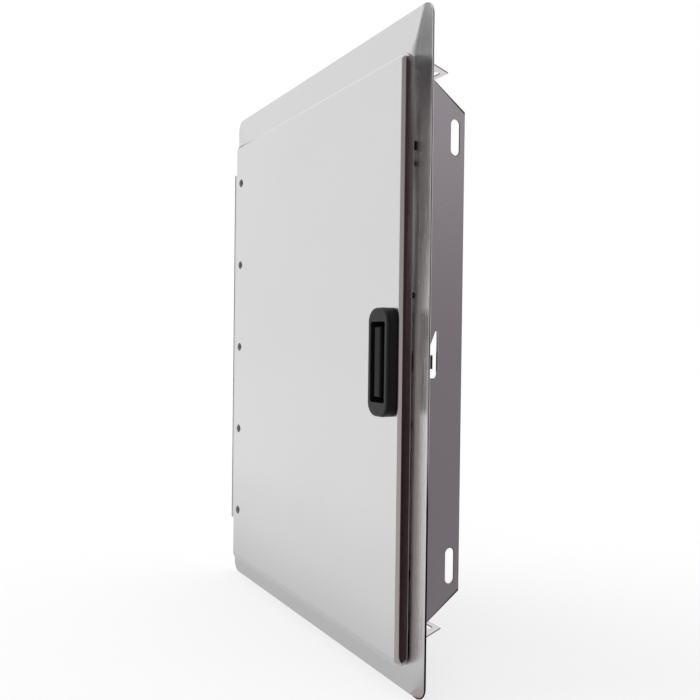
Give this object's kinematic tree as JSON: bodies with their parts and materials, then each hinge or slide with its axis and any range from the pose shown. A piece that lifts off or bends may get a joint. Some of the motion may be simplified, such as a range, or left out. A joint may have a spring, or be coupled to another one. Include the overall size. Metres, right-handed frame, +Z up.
{
  "type": "built-in access door",
  "caption": "Stainless steel access door in a flanged frame for a masonry opening, on a continuous hinge, with a black flush slide latch.",
  "frame": {"origin": "centre of the wall cut-out, in the plane of the wall's outer face where the flange's hem rests", "axes": "+X to the right and +Z up as seen from outside, +Y into the wall"},
  "size_m": [0.4224, 0.0826, 0.5716],
  "materials": {
    "brushed_stainless": "brushed along the long side",
    "plain_steel": "smooth",
    "black_plastic": "fine moulded grain, slight sheen",
    "black_rubber": "matt"
  },
  "bodies": {
    "frame": {"face_frame": "brushed_stainless", "top_wall": "brushed_stainless", "bottom_wall": "brushed_stainless", "hinge_frame_leaf": "brushed_stainless", "hinge_pin": "plain_steel", "frame_hinge_rivets": "plain_steel"},
    "door": {"door_skin": "brushed_stainless", "door_liner": "brushed_stainless", "hinge_door_leaf": "brushed_stainless", "door_hinge_rivets": "plain_steel", "liner_rivets": "plain_steel", "door_bumpers": "black_rubber", "latch_housing": "black_plastic", "latch_gasket": "black_rubber", "latch_back_plate": "plain_steel", "latch_screws": "plain_steel"},
    "latch_slide": {"finger_slide": "black_plastic", "latch_bolt": "black_plastic", "slide_screw": "plain_steel", "friction_spring": "plain_steel"}
  },
  "joints": [
    {"name": "door_swing", "type": "hinge", "parent": "frame", "child": "door", "pos_m": [-0.19115, -0.011, 0], "axis": [0, 0, -1], "range_deg": [0, 170]},
    {"name": "latch_slide_travel", "type": "slide", "parent": "door", "child": "latch_slide", "axis": [1, 0, 0], "range_m": [0, 0.008]}
  ]
}
